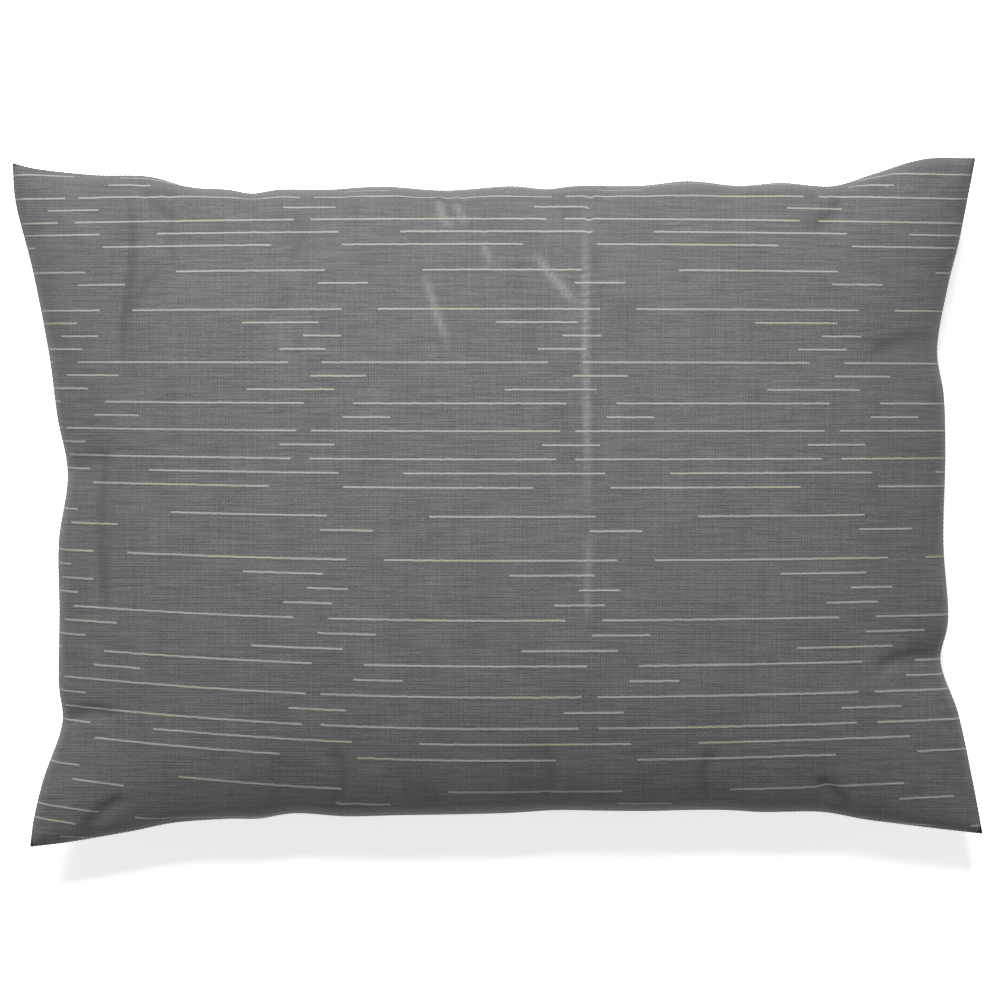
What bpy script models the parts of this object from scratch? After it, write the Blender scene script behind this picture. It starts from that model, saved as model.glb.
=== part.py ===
"""Bed pillow, 50 x 70 cm: a woven striped case closed by a hidden zip, over a sewn insert of fibre batts.

The pillow lies on its back panel. X is its length, Y its width and Z up; the origin is under its middle.
Everything is in metres.
"""

import math

import bmesh
import bpy
from mathutils import Vector

# Stuffed size of the case, from corner to corner, and the height of its seam above what it lies on.
LENGTH = 0.685
WIDTH = 0.487
SEAM_HEIGHT = 0.0765
FRONT_RISE = 0.085  # crown of the front panel above the seam
BACK_DROP = 0.083  # crown of the back panel below the seam, before the weight flattens it

# Shape of the panels between their corners.
END_PINCH = 0.080  # how far the short sides pull in, as a share of half the length
SIDE_PINCH = 0.086  # how far the long sides pull in, as a share of half the width
END_CURVE = 3.0  # the higher, the straighter a side is before it turns out to its corners
SIDE_CURVE = 5.0
FULLNESS = 2.4  # 2 is an ellipse in section, and more is a fuller, squarer edge

# Cloth and thread.
CASE_CLOTH = 0.0010
TICKING_CLOTH = 0.0008
THREAD_RADIUS = 0.0004
LABEL_CLOTH = 0.0005
LABEL_WIDTH = 0.026
LABEL_DROP = 0.012
LABEL_PLACE = 0.036  # from the end of the zip tapes to the label
GAP = 0.0003  # between pieces that touch
SEAM_GAP = 0.0003  # between the two panels of a seam

# Hidden zip in the long side at -Y: its slot, tapes, coils and stops.
SLOT_LENGTH = 0.400
SLOT_TAPER = 0.006  # length over which each end of the slot closes
ZIP_DROP = 0.012  # middle of the chain below the seam
ZIP_WINDOW = 0.010  # height of the slot between its two hems
ZIP_HEM = 0.0028  # folded cloth between the back panel and the tape
TAPE_LENGTH = 0.420
TAPE_WIDTH = 0.010
TAPE_THICKNESS = 0.0006
TAPE_SPLIT = 0.0020  # between the two tapes
COIL_WIDTH = 0.00225
COIL_HEIGHT = 0.0013
STOP_LENGTH = 0.0025
ZIP_TRAVEL = 0.325
SLIDER_CLOSED_X = 0.160

# Slider and pull.
SLIDER_LENGTH = 0.010
SLIDER_WIDTH = 0.0078
PLATE = 0.0010
FLANGE = 0.0010
DIVIDER_WIDTH = 0.0013
DIVIDER_LENGTH = 0.0025
DIVIDER_AHEAD = 0.0027  # middle of the divider ahead of the slider's own middle
BAIL_LENGTH = 0.0070
BAIL_WIDTH = 0.0024
BAIL_WALL = 0.0011
BAIL_ROOM = 0.0020  # clear height under the bail
PULL_LENGTH = 0.0240
PULL_WIDTH = 0.0070
PULL_THICKNESS = 0.0012
PULL_BAR = 0.0012  # the cross bar that turns under the bail
PULL_EYE_WIDTH = 0.0034
PULL_EYE_END = 0.0046  # from the hinge axis to the far end of the eye
PULL_HOLE_RADIUS = 0.0013

# Insert and fill.
INSERT_CLEARANCE = 0.0022  # between the slider and the insert's seam
CROWN_SLACK = 0.0004  # between one layer and the next at the crown
EAR_ROOM = 0.003  # between the fill and the insert's seam, which the fill doesn't reach into

# Facets.
ROWS_LONG = 20
ROWS_WIDE = 14

# What follows from these sizes.
CHAIN_Z = SEAM_HEIGHT - ZIP_DROP
LIP_Z = CHAIN_Z - ZIP_WINDOW / 2
TAPE_FOOT_Z = CHAIN_Z - TAPE_SPLIT / 2 - TAPE_WIDTH
COIL_BOTTOM = TAPE_THICKNESS / 2 + GAP
COIL_TOP = COIL_BOTTOM + COIL_HEIGHT
SLIDER_INNER = -(TAPE_THICKNESS / 2 + GAP + PLATE)
SLIDER_OUTER = COIL_TOP + GAP + PLATE
HINGE_OUT = SLIDER_OUTER + BAIL_ROOM / 2


def back_setback(depth):
    """How far behind the edge the back panel lies at this depth below the seam, midway along the side."""
    half_width = WIDTH / 2 * (1 - SIDE_PINCH)
    return half_width * (1 - (1 - (depth / BACK_DROP) ** FULLNESS) ** (1 / FULLNESS))


EDGE_Y = -WIDTH / 2 * (1 - SIDE_PINCH)
ZIP_SETBACK = back_setback(SEAM_HEIGHT - TAPE_FOOT_Z) + CASE_CLOTH + ZIP_HEM
TAPE_Y = EDGE_Y + ZIP_SETBACK
INSERT_INSET = ZIP_SETBACK - SLIDER_INNER + INSERT_CLEARANCE
INSERT_FLOOR = CASE_CLOTH + GAP
FILL_INSET = INSERT_INSET + TICKING_CLOTH + 2 * GAP + 2 * THREAD_RADIUS + EAR_ROOM
FILL_FLOOR = INSERT_FLOOR + TICKING_CLOTH + GAP


def clear_scene():
    for obj in list(bpy.data.objects):
        bpy.data.objects.remove(obj, do_unlink=True)


def finish_of(name, colour, roughness, metallic=0.0):
    """A plain finish for one piece; it also sets the colour in the viewport."""
    finish = bpy.data.materials.new(name)
    finish.use_nodes = True
    shader = finish.node_tree.nodes["Principled BSDF"]
    shader.inputs["Base Color"].default_value = (*colour, 1)
    shader.inputs["Roughness"].default_value = roughness
    shader.inputs["Metallic"].default_value = metallic
    finish.diffuse_color = (*colour, 1)
    return finish


def piece(name, mesh_maker, finish=None):
    """An object made from a bmesh. Without a finish it is a cutter, which stays out of the model."""
    mesh = bpy.data.meshes.new(name)
    shape = bmesh.new()
    mesh_maker(shape)
    bmesh.ops.recalc_face_normals(shape, faces=shape.faces)
    if shape.calc_volume(signed=True) < 0:
        bmesh.ops.reverse_faces(shape, faces=shape.faces)
    shape.to_mesh(mesh)
    shape.free()
    obj = bpy.data.objects.new(name, mesh)
    bpy.context.scene.collection.objects.link(obj)
    if finish:
        mesh.materials.append(finish)
    else:
        obj.hide_render = True
        obj.display_type = "WIRE"
    return obj


def join(obj, other, operation):
    boolean = obj.modifiers.new(f"{operation.lower()}_{other.name}", "BOOLEAN")
    boolean.operation = operation
    boolean.object = other
    boolean.solver = "EXACT"


def box(low, high):
    """A maker of the block between two corners."""
    low, high = Vector(low), Vector(high)

    def make(shape):
        made = bmesh.ops.create_cube(shape, size=1)
        for vert in made["verts"]:
            vert.co = (low + high) / 2 + Vector(a * b for a, b in zip(vert.co, high - low))

    return make


def prism(outline, start, end, along):
    """A maker of a closed outline pushed along one axis; the outline's points are the other two, in order."""

    def place(a, b, c):
        return {"X": (c, a, b), "Y": (a, c, b), "Z": (a, b, c)}[along]

    def make(shape):
        first = [shape.verts.new(place(a, b, start)) for a, b in outline]
        last = [shape.verts.new(place(a, b, end)) for a, b in outline]
        shape.faces.new(first)
        shape.faces.new(reversed(last))
        for i, vert in enumerate(first):
            before = i - 1
            shape.faces.new((first[before], vert, last[i], last[before]))

    return make


def zip_y(out):
    """Y of a place that stands this far out of the tapes' middle plane, towards the outside."""
    return TAPE_Y - out


# ---- The pillow's form ----


def steps(rows):
    """Places across a panel from -1 to 1, closer together towards the seams."""
    return [math.sin(math.pi * (i / rows - 0.5)) for i in range(rows + 1)]


def columns():
    """Places along a panel: the even steps, with a pair at each end of the slot in place of the nearest."""
    open_end = SLOT_LENGTH / LENGTH
    sewn_end = (SLOT_LENGTH + 2 * SLOT_TAPER) / LENGTH
    spare = (sewn_end - open_end) * 2
    even = [u for u in steps(ROWS_LONG) if not open_end - spare < abs(u) < sewn_end + spare]
    return sorted([*even, -sewn_end, -open_end, open_end, sewn_end])


def crown(u, v):
    """Share of a panel's full height at one place: 1 at its middle, 0 along its seam."""
    full = max(1 - abs(u) ** FULLNESS, 0) * max(1 - abs(v) ** FULLNESS, 0)
    return full ** (1 / FULLNESS)


def plan(u, v, inset):
    """Plan of a place on a panel whose seam lies this far inside the case's own seam."""
    half_x = LENGTH / 2 * (1 - END_PINCH * (1 - abs(v) ** END_CURVE)) - inset
    half_y = WIDTH / 2 * (1 - SIDE_PINCH * (1 - abs(u) ** SIDE_CURVE)) - inset
    return u * half_x, v * half_y


def around():
    """Places in order round a panel's seam, from the -X end of its +Y side, clockwise from above."""
    long, wide = columns(), steps(ROWS_WIDE)
    yield from ((u, 1.0) for u in long[:-1])
    yield from ((1.0, v) for v in reversed(wide[1:]))
    yield from ((u, -1.0) for u in reversed(long[1:]))
    yield from ((-1.0, v) for v in wide[:-1])


def grid(shape, place):
    """Adds a curved sheet of facets, split so that a fold runs out to each corner; place gives each point."""
    long, wide = columns(), steps(ROWS_WIDE)
    rows = [[shape.verts.new(place(u, v)) for u in long] for v in wide]
    for v, near, far in zip(wide, rows, rows[1:]):
        for i, u in enumerate(long[:-1]):
            a, b, c, d = near[i], near[i + 1], far[i + 1], far[i]
            outwards = (u + long[i + 1]) * v
            for facet in ((a, b, c), (a, c, d)) if outwards > 0 else ((a, b, d), (b, c, d)):
                shape.faces.new(facet)
    return rows


def rim_of(rows):
    """The points round a sheet's edge, in order."""
    bottom, top = rows[0], rows[-1]
    right = [row[-1] for row in rows[1:-1]]
    left = [row[0] for row in reversed(rows[1:-1])]
    return [*bottom, *right, *reversed(top), *left]


def dome(inset, rise, rim_z, floor=0.0):
    """Gives the place of each point of half a pillow, from its u and v."""

    def place(u, v):
        x, y = plan(u, v, inset)
        return x, y, max(rim_z + rise * crown(u, v), floor)

    return place


def half_form(inset, rise, rim_z, floor=0.0):
    """A maker of half a pillow, closed by a flat face at its rim."""

    def make(shape):
        shape.faces.new(rim_of(grid(shape, dome(inset, rise, rim_z, floor))))

    return make


def shell(outer, inner):
    """A maker of a sewn panel: two sheets, joined by a strip round their edges."""

    def make(shape):
        outer_rim = rim_of(grid(shape, outer))
        inner_rim = rim_of(grid(shape, inner))
        for i, vert in enumerate(outer_rim):
            shape.faces.new((outer_rim[i - 1], vert, inner_rim[i], inner_rim[i - 1]))

    return make


def panel(inset, rise, rim_z, cloth, floor=0.0):
    """The outer and inner sheets of a panel of this cloth."""
    inner_rise = rise - math.copysign(cloth, rise)
    return dome(inset, rise, rim_z, floor), dome(inset + cloth, inner_rise, rim_z, floor + cloth)


def thread(name, finish, places, inset, closed):
    """A seam's thread just inside the two panels, through places on the seam. It cuts across the corners."""
    places = [(u, v) for u, v in places if abs(u * v) < 1]
    curve = bpy.data.curves.new(name, "CURVE")
    curve.dimensions = "3D"
    curve.bevel_depth = THREAD_RADIUS
    curve.bevel_resolution = 0
    curve.use_fill_caps = True
    line = curve.splines.new("POLY")
    line.points.add(len(places) - 1)
    for point, (u, v) in zip(line.points, places):
        x, y = plan(u, v, inset)
        point.co = (x, y, SEAM_HEIGHT, 1)
    line.use_cyclic_u = closed
    curve.materials.append(finish)
    obj = bpy.data.objects.new(name, curve)
    bpy.context.scene.collection.objects.link(obj)


# ---- Case ----


def in_slot(u, v):
    """Whether a point on a panel's edge lies on the zip's slot."""
    return v == -1 and abs(u) < (SLOT_LENGTH + SLOT_TAPER) / LENGTH


def make_case():
    cloth = finish_of("grey_striped_weave", (0.19, 0.19, 0.193), 0.85)

    # The front panel's allowance turns in under its edge, as far as the back of the tapes.
    front_rim = SEAM_HEIGHT + SEAM_GAP / 2
    front_outer, front_inner = panel(0, FRONT_RISE, front_rim, CASE_CLOTH)

    def front_allowance(u, v):
        if in_slot(u, v):
            return plan(u, v, 0)[0], zip_y(-TAPE_THICKNESS / 2), front_rim
        return front_inner(u, v)

    piece("case_front", shell(front_outer, front_allowance), cloth)

    # Along the slot the back panel ends lower, and its folded edge lies on the lower tape.
    back_rim = SEAM_HEIGHT - SEAM_GAP / 2
    back_outer, back_inner = panel(0, -BACK_DROP, back_rim, CASE_CLOTH)

    def back_lip(u, v):
        if in_slot(u, v):
            x, y = plan(u, v, 0)
            return x, y + back_setback(back_rim - LIP_Z), LIP_Z
        return back_outer(u, v)

    def back_hem(u, v):
        if in_slot(u, v):
            return plan(u, v, 0)[0], zip_y(TAPE_THICKNESS / 2 + GAP), LIP_Z
        return back_inner(u, v)

    piece("case_back", shell(back_lip, back_hem), cloth)


def make_case_thread():
    finish = finish_of("grey_sewing_thread", (0.16, 0.16, 0.165), 0.7)
    inset = CASE_CLOTH + GAP + THREAD_RADIUS
    # The seam is open along the slot, so the thread runs round from one end of it to the other.
    clear = (SLOT_LENGTH + 3 * SLOT_TAPER) / LENGTH
    sewn = [(u, v) for u, v in around() if v > -1 or abs(u) > clear]
    start = next(i for i, (u, v) in enumerate(sewn) if v == -1 and u < 0)
    thread("case_seam_thread", finish, sewn[start:] + sewn[:start], inset, False)


# ---- Zip ----


def make_zip_tapes():
    finish = finish_of("grey_zip_tape", (0.13, 0.13, 0.135), 0.8)
    half = TAPE_LENGTH / 2
    upper_edge = SEAM_HEIGHT + SEAM_GAP / 2 - GAP
    for name, low_z, high_z in (
        ("zip_tape_front", CHAIN_Z + TAPE_SPLIT / 2, upper_edge),
        ("zip_tape_back", TAPE_FOOT_Z, CHAIN_Z - TAPE_SPLIT / 2),
    ):
        low = (-half, zip_y(TAPE_THICKNESS / 2), low_z)
        high = (half, zip_y(-TAPE_THICKNESS / 2), high_z)
        piece(name, box(low, high), finish)


def bottom_stop_face():
    """X of the bottom stop's face, where the open slider ends."""
    return SLIDER_CLOSED_X - ZIP_TRAVEL - SLIDER_LENGTH / 2 - 2 * GAP


def make_zip_coils():
    finish = finish_of("grey_nylon_coil", (0.11, 0.11, 0.115), 0.45)
    start = bottom_stop_face() + GAP
    end = SLIDER_CLOSED_X + DIVIDER_AHEAD - DIVIDER_LENGTH / 2 - GAP
    chamfer = COIL_HEIGHT / 3
    for name, side in (("zip_coil_front", 1), ("zip_coil_back", -1)):
        near = GAP / 2
        far = near + COIL_WIDTH
        section = [
            (COIL_BOTTOM, near),
            (COIL_TOP - chamfer, near),
            (COIL_TOP, near + chamfer),
            (COIL_TOP, far - chamfer),
            (COIL_TOP - chamfer, far),
            (COIL_BOTTOM, far),
        ]
        outline = [(zip_y(out), CHAIN_Z + side * up) for out, up in section]
        piece(name, prism(outline, start, end, "X"), finish)


def make_zip_stops():
    finish = finish_of("nickel_stop", (0.55, 0.55, 0.56), 0.3, 1.0)
    tape = TAPE_THICKNESS / 2 + GAP
    start = SLIDER_CLOSED_X + SLIDER_LENGTH / 2 + 5 * GAP
    # Each top stop is a clip folded round the edge of its own tape.
    for name, side in (("zip_top_stop_front", 1), ("zip_top_stop_back", -1)):
        edge = TAPE_SPLIT / 2
        inner = edge - GAP
        section = [
            (-tape - PLATE / 2, inner - PLATE / 2),
            (-tape - PLATE / 2, edge + 2 * PLATE),
            (-tape, edge + 2 * PLATE),
            (-tape, inner),
            (tape, inner),
            (tape, edge + 2 * PLATE),
            (tape + PLATE / 2, edge + 2 * PLATE),
            (tape + PLATE / 2, inner - PLATE / 2),
        ]
        outline = [(zip_y(out), CHAIN_Z + side * up) for out, up in section]
        piece(name, prism(outline, start, start + STOP_LENGTH, "X"), finish)
    end = bottom_stop_face()
    low = (end - STOP_LENGTH, zip_y(COIL_TOP + GAP), CHAIN_Z - COIL_WIDTH)
    high = (end, zip_y(COIL_BOTTOM), CHAIN_Z + COIL_WIDTH)
    piece("zip_bottom_stop", box(low, high), finish)


def make_zip_threads():
    finish = bpy.data.materials["grey_sewing_thread"]
    half = SLOT_LENGTH / 2
    centre = -(TAPE_THICKNESS / 2 + GAP + THREAD_RADIUS)
    for name, side in (("zip_stitch_front", 1), ("zip_stitch_back", -1)):
        z = CHAIN_Z + side * (ZIP_WINDOW / 2 + (TAPE_WIDTH - ZIP_WINDOW / 2) / 2)
        y = zip_y(centre)
        ring = [(y + THREAD_RADIUS, z), (y, z + THREAD_RADIUS), (y - THREAD_RADIUS, z), (y, z - THREAD_RADIUS)]
        piece(name, prism(ring, -half, half, "X"), finish)
    # A bar tack across both tapes closes each end of the slot.
    for name, side in (("zip_bar_tack_left", -1), ("zip_bar_tack_right", 1)):
        near = side * (half - GAP - STOP_LENGTH)
        far = side * (half - GAP)
        low = (min(near, far), zip_y(COIL_BOTTOM + 2 * THREAD_RADIUS), LIP_Z + GAP)
        high = (max(near, far), zip_y(COIL_BOTTOM), CHAIN_Z + ZIP_WINDOW / 2 - GAP)
        piece(name, box(low, high), finish)


def make_slider():
    finish = finish_of("nickel_slider", (0.55, 0.55, 0.56), 0.3, 1.0)
    x = SLIDER_CLOSED_X
    half_length, half_width = SLIDER_LENGTH / 2, SLIDER_WIDTH / 2

    def block(name, x0, x1, out0, out1, z0, z1):
        return piece(name, box((x + x0, zip_y(out1), CHAIN_Z + z0), (x + x1, zip_y(out0), CHAIN_Z + z1)))

    slider = piece(
        "zip_slider",
        box(
            (x - half_length, zip_y(SLIDER_OUTER), CHAIN_Z - half_width),
            (x + half_length, zip_y(SLIDER_OUTER - PLATE), CHAIN_Z + half_width),
        ),
        finish,
    )
    inner_plate = block(
        "inner_plate",
        -half_length,
        half_length,
        SLIDER_INNER,
        SLIDER_INNER + PLATE,
        -half_width,
        half_width,
    )
    divider_start = DIVIDER_AHEAD - DIVIDER_LENGTH / 2
    divider = block(
        "divider",
        divider_start,
        divider_start + DIVIDER_LENGTH,
        SLIDER_INNER + PLATE / 2,
        SLIDER_OUTER - PLATE / 2,
        -DIVIDER_WIDTH / 2,
        DIVIDER_WIDTH / 2,
    )
    join(slider, divider, "UNION")
    join(slider, inner_plate, "UNION")
    for name, side in (("flange_front", 1), ("flange_back", -1)):
        edges = sorted((side * half_width, side * (half_width - FLANGE)))
        flange = block(
            name,
            -half_length,
            half_length,
            TAPE_THICKNESS / 2 + GAP,
            SLIDER_OUTER - PLATE / 2,
            *edges,
        )
        join(slider, flange, "UNION")

    # The bail is an arch along the slider, over the pull's cross bar.
    outer, wall = BAIL_LENGTH / 2, BAIL_WALL
    foot = SLIDER_OUTER - PLATE / 2
    top = SLIDER_OUTER + BAIL_ROOM
    arch = [
        (-outer, foot),
        (-outer, top),
        (-outer + wall, top + wall),
        (outer - wall, top + wall),
        (outer, top),
        (outer, foot),
        (outer - wall, foot),
        (outer - wall, top),
        (-outer + wall, top),
        (-outer + wall, foot),
    ]
    outline = [(x + a, zip_y(out)) for a, out in arch]
    bail = piece("bail", prism(outline, CHAIN_Z - BAIL_WIDTH / 2, CHAIN_Z + BAIL_WIDTH / 2, "Z"))
    join(slider, bail, "UNION")


def make_pull():
    finish = finish_of("nickel_pull", (0.55, 0.55, 0.56), 0.32, 1.0)
    hinge_x, hinge_y = SLIDER_CLOSED_X, zip_y(HINGE_OUT)
    half_width = PULL_WIDTH / 2
    bar = PULL_BAR / 2

    # A tab with a round far end, flat against the slider, which turns about its cross bar.
    turns = [math.pi * i / 10 for i in range(11)]
    round_end = [
        (-PULL_LENGTH + half_width - half_width * math.sin(t), half_width * math.cos(t)) for t in turns
    ]
    tab_outline = [(bar, half_width), *round_end, (bar, -half_width)]

    # The pull's own origin is on its hinge axis.
    def flat(points, thickness):
        def make(shape):
            prism(points, -thickness / 2, thickness / 2, "Y")(shape)

        return make

    pull = piece("zip_pull", flat(tab_outline, PULL_THICKNESS), finish)
    pull.location = (hinge_x, hinge_y, CHAIN_Z)
    eye = piece(
        "pull_eye",
        box(
            (-PULL_EYE_END, -PULL_THICKNESS, -PULL_EYE_WIDTH / 2),
            (-bar, PULL_THICKNESS, PULL_EYE_WIDTH / 2),
        ),
    )
    eye.location = pull.location
    join(pull, eye, "DIFFERENCE")
    hole_x = -PULL_LENGTH + half_width
    hole = [
        (hole_x + PULL_HOLE_RADIUS * math.cos(math.tau * i / 12), PULL_HOLE_RADIUS * math.sin(math.tau * i / 12))
        for i in range(12)
    ]
    far_hole = piece("pull_hole", flat(hole, 2 * PULL_THICKNESS))
    far_hole.location = pull.location
    join(pull, far_hole, "DIFFERENCE")


# ---- Labels ----


def make_care_label():
    """The case's blank label, sewn into the seam beyond the open end of the zip and folded down inside."""
    finish = finish_of("white_label_tape", (0.75, 0.75, 0.74), 0.7)
    thread_room = CASE_CLOTH + 2 * GAP + 2 * THREAD_RADIUS
    near_x = -TAPE_LENGTH / 2 - LABEL_PLACE
    edge = plan(near_x / (LENGTH / 2), -1, 0)[1]
    top = SEAM_HEIGHT + LABEL_CLOTH / 2
    sewn_edge = edge + thread_room
    fold = edge + INSERT_INSET / 2
    hook = [
        (sewn_edge, top - LABEL_CLOTH),
        (sewn_edge, top),
        (fold + LABEL_CLOTH, top),
        (fold + LABEL_CLOTH, SEAM_HEIGHT - LABEL_DROP),
        (fold, SEAM_HEIGHT - LABEL_DROP),
        (fold, top - LABEL_CLOTH),
    ]
    piece("case_care_label", prism(hook, near_x - LABEL_WIDTH, near_x, "X"), finish)


# ---- Insert ----


def make_insert():
    ticking = finish_of("white_ticking", (0.72, 0.71, 0.69), 0.8)
    layers = CASE_CLOTH + CROWN_SLACK
    front = panel(INSERT_INSET, FRONT_RISE - layers, SEAM_HEIGHT + SEAM_GAP / 2, TICKING_CLOTH)
    piece("insert_ticking_front", shell(*front), ticking)
    back = panel(
        INSERT_INSET, layers - BACK_DROP, SEAM_HEIGHT - SEAM_GAP / 2, TICKING_CLOTH, INSERT_FLOOR
    )
    piece("insert_ticking_back", shell(*back), ticking)
    sewing = finish_of("white_sewing_thread", (0.7, 0.7, 0.7), 0.7)
    inset = INSERT_INSET + TICKING_CLOTH + GAP + THREAD_RADIUS
    thread("insert_seam_thread", sewing, list(around()), inset, True)


def make_fill():
    """Two lapped batts of polyester fibre, one on the other."""
    wool = finish_of("white_fibre_fill", (0.8, 0.8, 0.8), 0.95)
    layers = CASE_CLOTH + TICKING_CLOTH + 2 * CROWN_SLACK
    upper = half_form(FILL_INSET, FRONT_RISE - layers, SEAM_HEIGHT + SEAM_GAP / 2)
    piece("fill_batt_upper", upper, wool)
    lower = half_form(FILL_INSET, layers - BACK_DROP, SEAM_HEIGHT - SEAM_GAP / 2, FILL_FLOOR)
    piece("fill_batt_lower", lower, wool)


clear_scene()
make_case()
make_case_thread()
make_zip_tapes()
make_zip_coils()
make_zip_stops()
make_zip_threads()
make_slider()
make_pull()
make_care_label()
make_insert()
make_fill()
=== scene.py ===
import math

import bmesh
import bpy
import numpy as np
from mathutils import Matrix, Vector


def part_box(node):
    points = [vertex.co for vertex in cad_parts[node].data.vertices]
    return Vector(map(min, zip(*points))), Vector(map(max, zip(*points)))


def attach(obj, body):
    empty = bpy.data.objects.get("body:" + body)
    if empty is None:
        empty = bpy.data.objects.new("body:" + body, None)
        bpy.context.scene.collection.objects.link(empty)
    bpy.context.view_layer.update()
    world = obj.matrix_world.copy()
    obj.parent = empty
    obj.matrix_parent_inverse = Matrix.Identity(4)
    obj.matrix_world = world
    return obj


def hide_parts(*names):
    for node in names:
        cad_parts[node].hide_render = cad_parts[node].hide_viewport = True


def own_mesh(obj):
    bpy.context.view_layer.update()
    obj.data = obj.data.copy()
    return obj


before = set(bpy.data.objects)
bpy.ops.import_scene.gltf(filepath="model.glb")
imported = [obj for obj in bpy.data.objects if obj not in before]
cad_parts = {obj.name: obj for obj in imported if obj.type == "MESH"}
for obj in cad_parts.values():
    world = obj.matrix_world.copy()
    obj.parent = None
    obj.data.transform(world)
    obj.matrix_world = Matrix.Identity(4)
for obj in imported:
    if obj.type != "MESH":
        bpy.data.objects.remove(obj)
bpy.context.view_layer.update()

# ---- Camera ----------------------------------------------------------------
# A bed pillow lying flat, seen from straight above with a long lens, its zip side at the bottom of the view.

LENS_MM = 100
SENSOR_MM = 36
VIEW_WIDTH = 0.715  # width of the view at the height of the seam

seam_low, seam_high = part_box("case_front")
SEAM_Z = seam_low[2]
camera = bpy.data.objects.new("camera", bpy.data.cameras.new("camera"))
camera.data.lens = LENS_MM
camera.data.sensor_width = SENSOR_MM
camera.location = (0, 0, SEAM_Z + VIEW_WIDTH * LENS_MM / SENSOR_MM)
bpy.context.collection.objects.link(camera)
bpy.context.scene.camera = camera
bpy.context.scene.view_settings.view_transform = "Standard"


# ---- Floor and light -------------------------------------------------------
# A flat sheet of pale paper under one soft box high beyond the far long side, with a weaker fill all round,
# so that the near long side falls into shade. The paper gives off light too, which keeps its shadows faint.

PAPER = "F7F7F6"
PAPER_GLOW = 0.70
FLOOR_SIZE = 8.0
SOFT_BOX_SIZE = 0.7
SOFT_BOX_PLACE = (-0.16, 0.90, 1.66)
SOFT_BOX_WATTS = 74
FILL_STRENGTH = 0.22


def linear(hex_colour):
    """An sRGB hex colour as linear RGBA."""
    parts = [int(hex_colour[i : i + 2], 16) / 255 for i in (0, 2, 4)]
    return (*((c / 12.92 if c <= 0.04045 else ((c + 0.055) / 1.055) ** 2.4) for c in parts), 1.0)


def add(tree, kind, settings=None, **inputs):
    """Adds a node. Settings are its properties, or its operation alone.

    Inputs, by name or _number, are values, sockets to link, or nodes whose first socket to link.
    """
    node = tree.nodes.new(kind)
    if isinstance(settings, str):
        settings = {"operation": settings}
    for name, value in (settings or {}).items():
        setattr(node, name, value)
    for name, value in inputs.items():
        key = int(name[1:]) if name[0] == "_" else name.replace("_", " ")
        if isinstance(value, bpy.types.Node):
            value = value.outputs[0]
        if isinstance(value, bpy.types.NodeSocket):
            tree.links.new(value, node.inputs[key])
        else:
            node.inputs[key].default_value = value
    return node


def blend(tree, factor, first, second):
    """A colour between two others by this factor."""
    return add(tree, "ShaderNodeMix", {"data_type": "RGBA"}, Factor=factor, _6=first, _7=second).outputs[2]


def finish(name, roughness, **settings):
    """A new material: its tree and its shader, with the settings that are the same all over."""
    material = bpy.data.materials.new(name)
    material.use_nodes = True
    shader = material.node_tree.nodes["Principled BSDF"]
    shader.inputs["Roughness"].default_value = roughness
    for socket, value in settings.items():
        shader.inputs[socket.replace("_", " ")].default_value = value
    return material, material.node_tree, shader


def make_paper():
    """Matt background paper: an even pale surface with hardly any grain."""
    material, tree, shader = finish("background_paper", 0.9, Emission_Strength=PAPER_GLOW)
    place = add(tree, "ShaderNodeTexCoord").outputs["Object"]
    grain = add(tree, "ShaderNodeTexNoise", Vector=place, Scale=900.0, Detail=2.0)
    colour = blend(tree, grain, linear(PAPER), linear("FFFFFF")
    )
    tree.links.new(colour, shader.inputs["Base Color"])
    shader.inputs["Emission Color"].default_value = linear(PAPER)
    return material


def mesh_object(name, points, faces, material):
    """A mesh with its place in its points, shaded smooth."""
    mesh = bpy.data.meshes.new(name)
    mesh.from_pydata([tuple(map(float, p)) for p in points], [], faces)
    mesh.materials.append(material)
    mesh.shade_smooth()
    obj = bpy.data.objects.new(name, mesh)
    bpy.context.collection.objects.link(obj)
    return obj


half_floor = FLOOR_SIZE / 2
floor = mesh_object(
    "floor",
    [(x * half_floor, y * half_floor, 0) for x, y in ((-1, -1), (1, -1), (1, 1), (-1, 1))],
    [(0, 1, 2, 3)],
    make_paper(),
)

soft_box = bpy.data.objects.new("soft_box", bpy.data.lights.new("soft_box", "AREA"))
soft_box.data.size = SOFT_BOX_SIZE
soft_box.data.energy = SOFT_BOX_WATTS
soft_box.location = SOFT_BOX_PLACE
soft_box.rotation_euler = Vector(SOFT_BOX_PLACE).to_track_quat("Z", "Y").to_euler()
bpy.context.collection.objects.link(soft_box)

world = bpy.data.worlds.new("studio")
bpy.context.scene.world = world
world.use_nodes = True
world.node_tree.nodes["Background"].inputs["Color"].default_value = (1, 1, 1, 1)
world.node_tree.nodes["Background"].inputs["Strength"].default_value = FILL_STRENGTH


# ---- Stuffed form ----------------------------------------------------------
# Two panels joined round a seam. They start as a stuffed shape and are blown up as cloth that keeps to its
# flat cut. The seam is held, so the sides stay drawn in between the corners. The case gets its form from this.

CUT_LENGTH = 0.706
CUT_WIDTH = 0.507
COLUMNS = 116
ROWS = 84
FULLNESS = 2.3
CLOSER = 0.11  # how much closer the cloth's rows lie near a seam, seen from above
FRONT_RISE = seam_high[2] - SEAM_Z
BACK_DROP = 0.083
CLOTH = 0.001

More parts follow.
